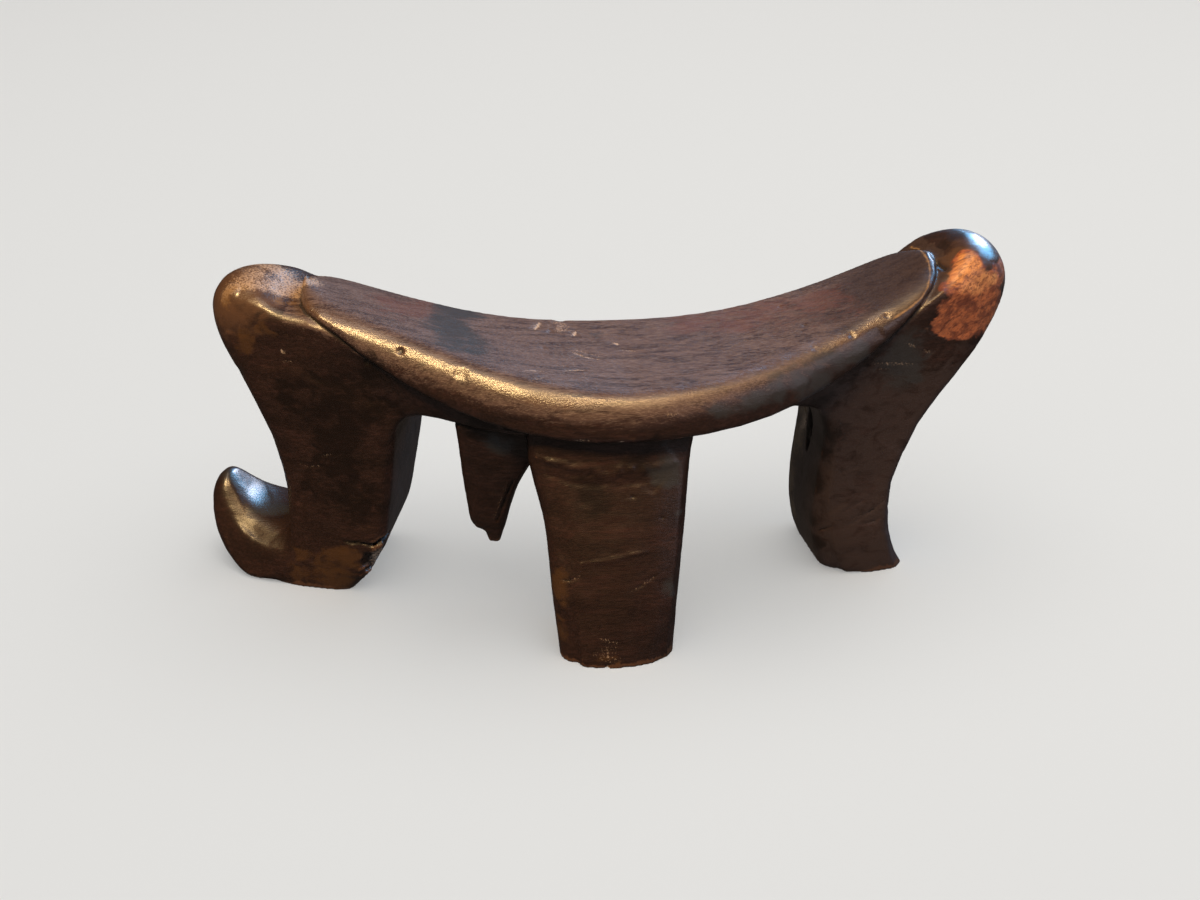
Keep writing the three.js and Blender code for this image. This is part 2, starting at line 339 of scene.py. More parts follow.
for name, (corner, facing, depth) in CHAMFERS.items():
    path = np.array(corner, float)
    stations = np.linspace(0, len(path) - 1, STATIONS)
    line = np.stack([np.interp(stations, range(len(path)), path[:, k]) for k in range(3)], 1)
    on_line = bend(*line.T)
    outwards = bend(line[:, 0] + facing[0], line[:, 1] + facing[1], line[:, 2]) - on_line
    run = np.gradient(on_line, axis=0)
    run /= np.linalg.norm(run, axis=1)[:, None]
    outwards -= (outwards * run).sum(1)[:, None] * run
    outwards /= np.linalg.norm(outwards, axis=1)[:, None]
    low, high = on_line.min(0) - PLANE_REACH, on_line.max(0) + PLANE_REACH
    close = np.flatnonzero(((points > low) & (points < high)).all(1))
    apart = np.linalg.norm(points[close, None] - on_line, axis=2)
    station = apart.argmin(1)
    inside = (apart.min(1) < PLANE_REACH) & (station > 0) & (station < len(line) - 1)
    close, station = close[inside], station[inside]
    proud = ((points[close] - on_line[station]) * outwards[station]).sum(1) + depth
    fade = np.clip(np.minimum(station, len(line) - 1 - station) / RUN_OUT, 0, 1)
    points[close] -= outwards[station] * (np.maximum(proud, 0) * fade)[:, None]
    print("planed", (proud > 0).sum(), "points:", name)

# %% Round the inner corner of the right foot
SOFT_CORNERS = (  # place and radius
    ((131, 1, 38), 9), ((133, 1, 24), 11), ((137, 1, 10), 12), ((140, 0, 1), 12),
)
SOFT_ROUNDS = 40

before = points
points = smoothed(points, pairs, near(points, SOFT_CORNERS), SOFT_ROUNDS)
print("it gives way by up to", round(np.linalg.norm(points - before, axis=1).max(), 1), "mm")

# %% [markdown]
# ## The marks of the adze
# An adze leaves shallow, nearly flat dips side by side, and handling softens them. A bump in the
# material would leave the outline straight, so here each point of the limbs is moved part of the
# way to the flat of the nearest dip. The seat was scraped and polished by use, so it gets none. The
# whole gets a slow unevenness, and the sharp edges move least.

# %% Find the seat
SEAT_ENDS = (-185, -130, -60, 0, 60, 130, 205)  # s
SEAT_LOW = (172, 156, 142, 136, 140, 152, 176)  # the height under its edge there
SEAT_MIDDLE = 12
SEAT_HALF = 196

put_points(skin, points)
normals = normals_of(skin)
seat_height = np.interp(places[:, 0], SEAT_ENDS, SEAT_LOW)
on_seat = rise(places[:, 2], seat_height, 6) * (np.abs(places[:, 0] - SEAT_MIDDLE) < SEAT_HALF)
print("the seat has", round(100 * float((on_seat > 0.5).mean())), "% of the points")

# %% Adze the limbs
DIPS = 330
DIP_DEPTH = 0.45
DIP_SHARE = 0.6
UNEVEN = 0.3
SEAT_CALM = 0.6  # how much of it the seat lacks
EDGE_CALM = 4  # how far from a sharp edge all of it is reached
EDGE_LEAST = 0.15
WEAR_ROUNDS = 6

dips = chance.choice(len(points), DIPS, replace=False)
dip_tree = tree_of(points[dips])
nearest = dips[[dip_tree.find(point)[1] for point in points]]
lean = ((points[nearest] - points) * normals[nearest]).sum(1)
flatten = np.clip(lean, -DIP_DEPTH, DIP_DEPTH) * (normals * normals[nearest]).sum(1).clip(0, 1)
raised = DIP_SHARE * flatten * (1 - on_seat)
raised += UNEVEN * waves(points, 46, 30, 30) * (1 - SEAT_CALM * on_seat)
raised *= np.maximum(rise(edge_gap, 0, EDGE_CALM), EDGE_LEAST)
points += normals * raised[:, None]
points = smoothed(points, pairs, np.clip((edge_gap - 1) / 5, 0.02, 0.5), WEAR_ROUNDS)
print("laid", DIPS, "adze dips of up to", DIP_DEPTH, "mm")

# %% [markdown]
# ## What happened to the wood
# Cracks, cuts, scrapes and chips are what makes this headrest the one in the photograph. Each
# could be cut with a boolean, but dozens of thin cutters are slow and leave bad faces. Here a mark
# is a line over the skin: its points are laid onto the nearest skin, and the skin along it is cut
# or raised. A spot is a round pit or a knob. Places are millimetres in the headrest's own frame.

# %% List the lines
LINES = {
    # name: places, half width, height (below 0 is a cut), how pale the bare wood shows in it
    "foot crack, left": ([(-154, 2, 33), (-149, 1, 32.4), (-145, 1, 33.2), (-141, 0, 32.2)],
                         1.1, -1.3, 0),
    "foot crack, middle": ([(-143, 0, 32.8), (-139, -1, 31.4), (-135, -2, 32.6)], 1.8, -2.6, 0),
    "foot crack, right": ([(-137, -2, 31.6), (-133, -3, 33.4), (-130, 2, 34.5), (-129, 10, 34)],
                          2.6, -3.2, 0),
    "stub groove": ([(-54, -15, 81), (-59, -13, 67), (-64, -12, 52)], 1.5, -1.0, 0),
    "stub groove lip": ([(-57, -15, 81), (-61.5, -13, 67), (-66, -12, 54)], 1.2, 0.35, 0.3),
    "fold under the lip": ([(-40, -37, 109), (-24, -43, 106), (-3, -45, 103), (15, -44, 103),
                            (34, -41, 105)], 6.0, 0.9, 0),
    "hollow under the fold": ([(-36, -41, 101), (-20, -47, 97), (4, -49, 96), (24, -47, 98)],
                              4.0, -0.4, 0),
    "scar on the front leg": ([(-18, -64, 56), (-5, -65, 58), (6, -64, 60), (18, -63, 62)],
                              3.0, 0.5, 0.1),
    "long scratch, left leg": ([(-182, 18, 144), (-172, 16, 145)], 1.0, -0.3, 0.3),
    "nick, left leg": ([(-181, 18, 151), (-179, 18, 149)], 1.2, -0.5, 0.7),
    "scratch a, left leg": ([(-164, 11, 86), (-157, 9, 88)], 1.1, -0.4, 0.35),
    "scratch b, left leg": ([(-176, 14, 79), (-170, 12, 78.5), (-163, 10, 80)], 1.1, -0.4, 0.3),
    "groove, left knob": ([(-212, 31, 158), (-205, 28, 157), (-196, 25, 158)], 2.2, -0.3, 0),
    "white nick": ([(-39, 35, 151), (-37, 40, 151), (-36, 44, 151)], 1.0, -0.5, 1.0),
    "scrape a": ([(-46, -18, 153), (-35, -17, 151)], 1.2, -0.3, 0.55),
    "scrape b": ([(-43, -30, 152), (-35, -25, 151)], 1.0, -0.3, 0.4),
    "faint scrape": ([(-93, 17, 160), (-87, 15, 159)], 1.0, -0.25, 0.35),
    "curved scratch a": ([(-19, 10, 149), (-12, 4, 148), (-4, 2, 148)], 0.9, -0.4, 0.6),
    "curved scratch b": ([(-18, 13, 149), (-9, 8, 148), (-2, 5, 148)], 0.9, -0.35, 0.45),
    "scrape c": ([(-24, -14, 149), (-17, -12, 149), (-13, -12, 149)], 1.3, -0.35, 0.6),
    "scrape d": ([(-30, -8, 150), (-22, -9, 149)], 1.1, -0.3, 0.35),
    "white nick b": ([(-17, 29, 150), (-16, 34, 150)], 1.1, -0.5, 1.0),
    "nick c": ([(5, 21, 148), (8, 19, 148)], 1.0, -0.4, 0.9),
    "scuff a": ([(9, 13, 148), (17, 11, 148)], 1.2, -0.25, 0.5),
    "scuff b": ([(0, -25, 147), (7, -25, 147)], 1.3, -0.25, 0.4),
    "scuff c": ([(70, 9, 150), (80, 16, 151)], 1.1, -0.25, 0.35),
    "scuff d": ([(74, 20, 151), (86, 25, 152)], 1.1, -0.2, 0.25),
    "lip scuff": ([(-22, -47, 124), (-12, -49, 125)], 1.2, -0.4, 0.5),
    "lip nick": ([(3, -49, 123), (6, -49, 124)], 1.0, -0.4, 0.6),
    "right lip scuff": ([(28, -45, 137), (38, -43, 137)], 1.3, -0.35, 0.4),
    "scratch a, right leg": ([(151, 9, 137), (163, 12, 135), (177, 16, 132)], 0.9, -0.35, 0.4),
    "scratch b, right leg": ([(152, 9, 133), (166, 13, 131)], 0.8, -0.3, 0.25),
    "nick a, right leg": ([(172, 15, 146), (177, 16, 143)], 1.0, -0.45, 0.45),
    "nick b, right leg": ([(182, 18, 140), (187, 19, 138)], 0.9, -0.4, 0.45),
    "gash a": ([(137, 3, 69), (149, 6, 71)], 1.3, -0.35, 0.15),
    "gash b": ([(146, 1, 38), (153, 3, 40), (160, 4, 42)], 1.3, -0.4, 0.15),
    "gash c": ([(126, 2, 29), (134, -1, 34)], 1.3, -0.5, 0.15),
    "gash d": ([(142, 0, 33), (154, 3, 39), (166, 6, 47)], 1.3, -0.35, 0.05),
    "gash e": ([(152, 1, 33), (165, 4, 36)], 1.2, -0.35, 0.05),
    "gash f": ([(140, 1, 43), (153, 3, 49)], 1.2, -0.4, 0.1),
    "cut a, front leg": ([(-29, -65, 46), (-24, -67, 47), (-19, -67, 50)], 1.3, -0.5, 0.35),
    "cut b, front leg": ([(9, -71, 42), (16, -70, 45), (23, -68, 49)], 1.6, -0.5, 0.3),
    "scuff, front leg": ([(-9, -80, 17), (1, -81, 14)], 1.2, -0.3, 0.4),
    "lip of the knot hole": ([(121, 46, 94), (122, 40, 87), (122, 37, 80)], 1.8, 0.7, 0.5),
    "torn hollow, right leg": ([(122, 33, 96), (122, 32, 86), (122, 31, 70)], 5.0, -3.2, 0),
    "notch, right leg": ([(168, 16, 44), (170, 10, 41), (172, 4, 38)], 3.0, -0.5, 0),
}
print(len(LINES), "lines, and", sum(row[2] > 0 for row in LINES.values()), "of them stand up")

# %% List the spots
SPOTS = {
    # name: place, radius, height (below 0 is a pit), roughness inside it, how pale
    "knot": ((-209, 39, 178), 6.5, 0.9, 0.25, 0),
    "ridge pit": ((-113, -7, 161), 2.4, -1.3, 0.4, 0.1),
    "ridge chip": ((-80, -23, 154), 4.5, -0.7, 0.7, 0.2),
    "band chip a": ((115, -5, 155), 1.8, -0.3, 0.2, 0.5),
    "band chip b": ((137, 3, 158), 2.4, -0.6, 0.4, 0.3),
    "band chip c": ((158, 12, 165), 1.8, -0.5, 0.3, 0.5),
    "edge chip": ((-24, 50, 151), 3.4, -0.8, 0.6, 0.45),
    "edge chip b": ((-30, 33, 150), 2.6, -0.4, 0.5, 0.4),
    "ring mark": ((-35, 13, 150), 1.6, -0.4, 0.3, 0.3),
    "lip chip": ((-133, 2, 149), 2.6, -0.8, 0.4, 0.5),
    "pinhole": ((11, -51, 90), 1.1, -0.9, 0, 1.0),
    "pinhole b": ((27, -54, 78), 0.9, -0.6, 0, 0.4),
    "foot chip": ((-5, -84, 1), 1.8, -0.7, 0.3, 0.9),
    "speck, left leg": ((-166, 11, 69), 1.0, -0.4, 0, 0.6),
    "speck, left knob": ((-177, 17, 161), 1.4, -0.4, 0.2, 0.6),
    "speck on top": ((-193, 60, 183), 1.2, -0.4, 0, 0.9),
    "speck, stub": ((-59, -15, 75), 1.0, -0.4, 0, 0.6),
    "speck, seat": ((103, 46, 157), 1.2, -0.4, 0, 0.8),
    "speck, seat b": ((113, 20, 157), 1.1, -0.4, 0, 0.5),
    "speck, right leg": ((202, 22, 128), 1.2, -0.4, 0, 0.6),
    "broken corner": ((-134, -2, 22), 12.0, -1.0, 1.6, 0),
    "broken edge": ((-137, -3, 8), 9.0, -0.3, 1.8, 0),
    "torn stub": ((-74, -8, 44), 7.0, -0.2, 1.0, 0),
}
print(len(SPOTS), "spots, and", sum(row[2] > 0 for row in SPOTS.values()), "of them stands up")

# %% Lay the lines onto the skin
TAPER = 0.45  # how wide a line is at its ends, as a share of its middle


def trail_of(line, surface, step=0.4):
    """Places close together along a line, each laid onto the nearest skin."""
    corners = [Vector(place) for place in line]
    trail = []
    for a, b in zip(corners, corners[1:]):
        steps = max(1, round((b - a).length / step))
        trail += [surface.find_nearest(a.lerp(b, k / steps))[0] for k in range(steps + 1)]
    return trail


def surface_of(mesh, points):
    loops = np.empty(len(mesh.loops), np.int32)
    mesh.loops.foreach_get("vertex_index", loops)
    starts = np.empty(len(mesh.polygons), np.int32)
    mesh.polygons.foreach_get("loop_start", starts)
    faces = np.split(loops, starts[1:])
    return BVHTree.FromPolygons([Vector(p) for p in points], [f.tolist() for f in faces])


def closeness(tree, trail, width):
    """The points near a trail that tapers to both ends, and how close they are, from 0 to 1."""
    shares = {}
    for step, place in enumerate(trail):
        along = math.sin(math.pi * (step + 0.5) / len(trail))
        reach = width * (TAPER + (1 - TAPER) * along)
        for _, i, gap in tree.find_range(place, reach):
            shares[i] = max(1 - gap / reach, shares.get(i, 0))
    rows = np.fromiter(shares.keys(), int, len(shares))
    return rows, np.fromiter(shares.values(), float, len(shares))


put_points(skin, points)
normals = normals_of(skin)
surface = surface_of(skin, points)
tree = tree_of(points)
trails = {name: trail_of(row[0], surface) for name, row in LINES.items()}
print("the lines are laid down by", sum(len(trail) for trail in trails.values()), "places")

# %% Cut the lines and spots
moved = np.zeros(len(points))
for name, (_, width, height, _) in LINES.items():
    rows, share = closeness(tree, trails[name], width)
    uneven = 0.75 + 0.6 * waves(points[rows], 3.5, 3.5, 3.5)
    moved[rows] += height * uneven * share * share * (3 - 2 * share)
for name, (place, radius, height, rough, _) in SPOTS.items():
    rows, share = closeness(tree, [surface.find_nearest(place)[0]], radius)
    fibres = 0.5 * waves(points[rows], 5, 1.6, 1.6)
    torn = fibres + 0.5 * waves(points[rows], 2.4, 2.4, 2.4)
    moved[rows] += (height + rough * torn) * np.sqrt(share)
print("the deepest mark goes", round(-moved.min(), 1), "mm into the wood")

# %% [markdown]
# ## The worn patch, the groove and the ripples
# On the right knob the patina has flaked off, and the torn fibres of the bare wood lie a little
# lower than the skin around them. A dark groove runs round the seat, where a knife cut it free
# from the beam. The seat's ridge is worn unevenly, and the scraper left fine ripples along the
# grain. A displacement modifier could do any one of these. They are added up in numpy instead,
# because each lies at its own place and two of them follow lines that are known already.

# %% Cut the groove and ripple the grain
GROOVE_DEPTH = 1.1
GROOVE_WIDTH = 1.3
GROOVE_ENDS = (-176, 199)  # x
GROOVE_LOW = 112
RIPPLE = 0.06

seat_creases = [place for place in creases
                if place.z > GROOVE_LOW and GROOVE_ENDS[0] < place.x < GROOVE_ENDS[1]]
groove_gap = gaps_to(points, seat_creases)
moved -= GROOVE_DEPTH * np.exp(-(groove_gap / GROOVE_WIDTH) ** 2)
moved += RIPPLE * waves(points, 22, 2.4, 2.4) * (1 - SEAT_CALM * on_seat)
print("the groove follows", len(seat_creases), "places")

# %% Wear the ridge of the seat
RIDGE = [(-168, 28, 175), (-160, 17, 174), (-148, 11, 171), (-132, 4, 167), (-113, -5, 162),
         (-91, -17, 157), (-69, -28, 152), (-49, -37, 147), (-29, -42, 144), (-10, -41, 145),
         (10, -38, 146), (42, -34, 147), (64, -27, 148), (91, -16, 151), (115, -5, 155),
         (137, 3, 158), (158, 12, 165)]
RIDGE_SWELL = 0.22
RIDGE_SIDE = 12

ridge_gap = gaps_to(points, trail_of(RIDGE, surface, 1.5))
moved += RIDGE_SWELL * np.clip(1 - ridge_gap / RIDGE_SIDE, 0, 1) * waves(points, 15, 8, 8)
print("the ridge swells at", (ridge_gap < RIDGE_SIDE).sum(), "points")

# %% Sink the worn patch and roughen the left knob
BARE = [  # place and radius of each part of the worn patch
    ((204, 26, 178), 12), ((212, 28, 166), 18), ((204, 25, 158), 15), ((220, 32, 168), 15),
    ((208, 34, 185), 11), ((214, 28, 152), 14), ((197, 22, 163), 12), ((194, 21, 154), 9),
    ((224, 36, 160), 12), ((206, 40, 189), 7), ((228, 42, 176), 10),
]
KNOB_TOP = [((-190, 45, 180), 24)]
BARE_SUNK = 0.35
FIBRE_HEIGHT = 0.22
FIBRE_LEAN = np.array([[0.9, 0.0, -0.43], [0.0, 1.0, 0.0], [0.43, 0.0, 0.9]])
ROUGH_TOP = 0.1


def patch(points, blobs, ragged, size, soft):
    """How much of a patch covers each point, from 0 to 1, with a ragged and more or less soft edge."""
    cover = np.full(len(points), -1.0)
    # three noises, 37 mm apart, sway the points along x, y and z, so that no blob stays round
    sways = [waves(points + 37 * k, size * 3.4, size * 1.7, size * 1.7) for k in range(3)]
    points = points + size * np.stack(sways, 1)
    for place, radius in blobs:
        share = 1 - ((points - place) ** 2).sum(1) / radius ** 2
        cover = np.maximum(cover, share)
    fine = waves(points, size / 2, size / 3, size / 3)
    cover += ragged * (waves(points, size * 2, size, size) + 0.6 * fine)
    return np.clip(cover / soft, 0, 1)


bare = patch(points, BARE, 0.3, 4.0, 0.5)
moved += bare * (-BARE_SUNK + FIBRE_HEIGHT * waves(points @ FIBRE_LEAN, 7, 1.7, 1.7))
moved += ROUGH_TOP * patch(points, KNOB_TOP, 0.2, 5.0, 0.5) * waves(points, 2.2, 2.2, 2.2)
print("the bare patch has", (bare > 0.5).sum(), "points")

# %% Move the skin
SOLE = 0.5  # points this low are laid flat on the floor

points += normals * moved[:, None]
points[:, 2] = np.where(points[:, 2] < SOLE, 0, points[:, 2])
put_points(skin, points)
print("the marks move the skin by", round(moved.min(), 1), "to", round(moved.max(), 1), "mm")

# %% [markdown]
# ## Fewer faces
# The even skin has far more faces than its smooth stretches need. A coarser remesh would blunt the
# cuts, so the Decimate modifier is used: it joins faces where the skin is nearly flat first.

# %% Thin the skin where it is smooth
MOST_TRIANGLES = 192000

triangles = sum(len(face.vertices) - 2 for face in skin.polygons)
thin = carving.modifiers.new("fewer faces", "DECIMATE")
thin.ratio = MOST_TRIANGLES / triangles
bpy.ops.object.modifier_apply(modifier=thin.name)
points = points_of(skin)
print(triangles, "triangles became", sum(len(face.vertices) - 2 for face in skin.polygons))

# %% [markdown]
# ## Where the finish changes
# One material covers the whole carving, so each change in the finish is painted on the skin as an
# attribute from 0 to 1: the polished ridge of the seat, bare wood, soot in the hollows, dust. Painted
# shade, painted light, a painted sheen and painted highlights are laid on the same way. The shader
# reads these and breaks their edges up with finer patterns than the skin has points for. An image
# could hold them too, but an attribute needs no unwrapping and moves with the mesh. Edges and
# hollows need no list: they are where the skin lies outside or inside its own smoothing.

# %% Paint the edges and the hollows
EDGE_HEIGHT = 0.2
SMOOTHING = 12
GROOVE_SOOT = 1.5

pairs = joins_of(skin)
places = unbend(points)
normals = normals_of(skin)
broad = smoothed(points, pairs, np.full(len(points), 0.5), SMOOTHING)
stands_in = ((broad - points) * normals).sum(1)
tree = tree_of(points)
groove_gap = gaps_to(points, seat_creases)
knobs = rise(np.abs(places[:, 0]), 174, 10) * rise(places[:, 2], 130, 20)
sunk = np.clip(stands_in / EDGE_HEIGHT - 0.7 - 3 * knobs, 0, 1)

paint = {
    "edges": np.clip(-stands_in / EDGE_HEIGHT - 1.2, 0, 1),
    "hollows": np.maximum(sunk, np.exp(-(groove_gap / GROOVE_SOOT) ** 2)),
    "pale": np.zeros(len(points)),
}
print("edges on", (paint["edges"] > 0.5).sum(), "points, hollows on", (sunk > 0.5).sum())

# %% Paint the pale cuts and the sooty ones
DEEP = -1.2
NARROWEST = 1.9  # a finer line would fall between the skin's points


def stain(rows, share, height, pale):
    """Show pale wood in a mark, and soot in it where it is deep."""
    paint["pale"][rows] = np.maximum(paint["pale"][rows], pale)
    if height < DEEP:
        paint["hollows"][rows] = np.maximum(paint["hollows"][rows], np.minimum(1, 2 * share))


for name, (_, width, height, pale) in LINES.items():
    rows, share = closeness(tree, trails[name], max(NARROWEST, width * 1.2))
    stain(rows, share, height, np.minimum(1, 1.4 * pale * share))
for place, radius, height, _, pale in SPOTS.values():
    rows, share = closeness(tree, [surface.find_nearest(place)[0]], radius)
    stain(rows, share, height, pale * share)
print("bare wood shows in", (paint["pale"] > 0.2).sum(), "points of the cuts")

# %% Paint the seat's polish
# the edge of the seat's right end, where a thin painted highlight runs
RIM = [(183, 74, 180), (187, 68, 181), (187, 58, 183), (187, 50, 184), (187, 41, 183),
       (186, 33, 180), (183, 25, 176), (179, 20, 172), (172, 16, 168), (161, 11, 163)]
RIM_WIDTH = 1.2
RIDGE_REACH = 7
POLISH_REACH = 6
POLISH_HALF = 193

ridge_gap = gaps_to(points, trail_of(RIDGE, surface, 1.5))
rim_gap = gaps_to(points, trail_of(RIM, surface, 0.8))
seat_height = np.interp(places[:, 0], SEAT_ENDS, SEAT_LOW)
paint["ridge"] = np.clip(1 - ridge_gap / RIDGE_REACH, 0, 1)
paint["rim_highlight"] = np.clip(1 - rim_gap / RIM_WIDTH, 0, 1)
paint["seat"] = rise(places[:, 2] - seat_height, -12, 14) * rise(normals[:, 2], -0.3, 0.5)
paint["seat"] *= np.abs(places[:, 0] - SEAT_MIDDLE) < POLISH_HALF
paint["polished"] = np.clip(1.3 - ridge_gap / POLISH_REACH, 0, 1) * rise(-normals[:, 1], 0.15, 0.3)
# painted shade: the seat darkens towards the right; painted sheen: the right leg is lighter and greyer
# from the beam down
paint["dim"] = paint["seat"] * rise(points[:, 0], 90, 70)
paint["right_leg_sheen"] = rise(points[:, 0], 60, 60) * rise(-points[:, 2], -160, 40)
print("the seat's finish lies on", (paint["seat"] > 0.5).sum(), "points")

# %% Paint the patches
PATCHES = {  # place and radius of the blobs that make up each
    "bare": BARE + [((192, 28, 179), 3.5)],
    "knobs": [((-200, 44, 178), 36), ((-190, 40, 170), 26), ((214, 44, 176), 30)],
    # painted shade: the left leg, the corners of the right leg's inner face, and under the lip and the
    # beam
    "painted_shade": [((-150, 8, 110), 42), ((-150, 8, 70), 36), ((-130, 6, 135), 28), ((-176, 16, 120), 20),
              ((-16, -60, 100), 22), ((20, -45, 112), 18), ((124, 4, 100), 20), ((123, 7, 84), 13),
              ((123, 7, 62), 12), ((123, 7, 40), 11), ((126, 6, 22), 9), ((-70, -15, 118), 18),
              ((120, -10, 120), 20)],
    # painted light on the inner face of the right leg
    "inner_face_light": [((120, 50, 70), 19), ((120, 52, 46), 20), ((121, 50, 92), 14), ((124, 46, 24), 16)],
    "amber": [((-160, 1, 14), 24), ((-180, 12, 12), 18), ((-26, -67, 44), 12), ((-32, -68, 20), 15),
              ((-205, 28, 152), 12), ((-188, 22, 160), 10), ((-5, -80, 8), 13), ((-206, 36, 20), 14)],
    "red": [((-125, 40, 166), 24), ((-112, 38, 163), 22), ((-104, 52, 160), 16),
            ((52, 41, 151), 24), ((74, 41, 152), 28), ((97, 39, 155), 28), ((128, 38, 160), 26)],
    "grey": [((-90, 36, 159), 20), ((-86, 22, 158), 22), ((-78, 8, 157), 20), ((-84, 48, 157), 18),
             ((1, 35, 149), 7), ((-64, -17, 108), 12), ((170, 14, 140), 26), ((30, -42, 104), 14),
             ((37, -50, 76), 7), ((34, -64, 44), 7), ((-214, 50, 52), 20), ((-205, 45, 34), 16),
             ((78, -30, 138), 13), ((93, -24, 139), 14), ((108, -17, 140), 14), ((122, -11, 142), 14),
             ((136, -4, 146), 13), ((60, -36, 136), 12), ((44, -40, 134), 10),
             ((-134, -2, 22), 12)],
    "dusty": [((-198, 46, 182), 20), ((-184, 46, 179), 18), ((-172, 47, 174), 14), ((-185, 60, 180), 18),
              ((120, 47, 84), 9), ((-28, 40, 150), 8), ((-5, -80, 8), 12), ((-134, -2, 22), 11)],
    "golden": [((-209, 39, 178), 9), ((-184, 30, 176), 7), ((-177, 30, 174), 6), ((-24, 50, 151), 5)],
    "fresh": [((205, 30, 184), 13), ((211, 28, 177), 14), ((218, 34, 174), 10), ((204, 38, 188), 8)],
    "glossy": [((207, 54, 192), 18), ((213, 45, 192), 18), ((222, 42, 187), 16), ((-222, 55, 50), 15),
               ((-213, 54, 42), 11), ((-186, 28, 176), 12), ((-205, 36, 180), 10)],
}
for name, blobs in PATCHES.items():
    ragged, size, soft = (0.4, 5.0, 0.45) if name == "bare" else (0.2, 8.0, 0.9)
    paint[name] = patch(points, blobs, ragged, size, soft)
for name, values in paint.items():
    layer = skin.attributes.new(name, "FLOAT", "POINT")
    layer.data.foreach_set("value", values.astype(np.float32))
    print(name, "covers", round(100 * float((values > 0.5).mean()), 1), "% of the points")

# %% [markdown]
# ## The wood
# Dark tropical hardwood, cut by hand and polished by hands. Smoke, oil and sweat have sunk in and
# made a thin, hard, glossy skin, so the eye sees deep brown that is almost black in the shade and
# a warm shine on every edge. Under it lie long, fine streaks of grain and short dark pores. A
# photograph of wood could be wrapped round it, but it would stretch and show seams. Noise that
# reads Object coordinates, stretched along the branch, runs through the wood as real grain does.
# Its sizes are real millimetres; the pores are drawn a little coarse, so that they show.

# %% Start the wood
def linear(code, alpha=1.0):
    """A linear colour from an sRGB hex code."""
    parts = [int(code[i:i + 2], 16) / 255 for i in (1, 3, 5)]
    return [v / 12.92 if v <= 0.04045 else ((v + 0.055) / 1.055) ** 2.4 for v in parts] + [alpha]


def add(tree, kind, settings=None, links=None):
    """A node of a kind with its settings, and with links from other sockets into its inputs."""
    made = tree.nodes.new(kind)
    for name, value in (settings or {}).items():
        if isinstance(name, int) or name in made.inputs:
            made.inputs[name].default_value = value
        else:
            setattr(made, name, value)
    for name, source in (links or {}).items():
        tree.links.new(source, made.inputs[name])
    return made


wood = bpy.data.materials.new("hardwood_polished_by_hand")
wood.use_nodes = True
grain = wood.node_tree
grain.nodes.clear()
place = add(grain, "ShaderNodeTexCoord").outputs["Object"]
print("made the material", wood.name)

# %% Lay out its patterns
PATTERNS = {
    # name: length and width in mm, turn about the depth in degrees, detail, distortion
    "figure": (75, 11, 0, 4, 0.5),
    "streaks": (22, 1.6, 0, 5, 0.5),
    "pores": (3.6, 0.55, 0, 2, 0.0),
    "mottle": (11, 7, 0, 6, 1.0),
    "grit": (1.0, 0.9, 0, 3, 0.3),
    "fibres": (7, 1.2, 32, 5, 1.2),
    "scratches": (12, 0.5, 16, 2, 0.6),
    "dust": (4.5, 0.5, 4, 4, 0.8),
    "wipes": (34, 4.5, -4, 6, 1.0),
}
pattern = {}
for name, (length, width, turn, detail, distortion) in PATTERNS.items():
    size = [1 / (length * MM), 1 / (width * MM), 1 / (width * MM)]
    turned = add(grain, "ShaderNodeMapping", {"Rotation": (0, math.radians(turn), 0)},
                 {"Vector": place})
    stretched = add(grain, "ShaderNodeMapping", {"Scale": size}, {"Vector": turned.outputs[0]})
    noise = add(grain, "ShaderNodeTexNoise",
                {"Scale": 1.0, "Detail": detail, "Distortion": distortion},
                {"Vector": stretched.outputs[0]})
    even = add(grain, "ShaderNodeMapRange", {"From Min": 0.3, "From Max": 0.7},
               {"Value": noise.outputs["Fac"]})
    pattern[name] = even.outputs[0]
mask = {}
for name in paint:
    mask[name] = add(grain, "ShaderNodeAttribute", {"attribute_name": name}).outputs["Fac"]
print("the wood has", len(pattern), "patterns and", len(mask), "painted masks")

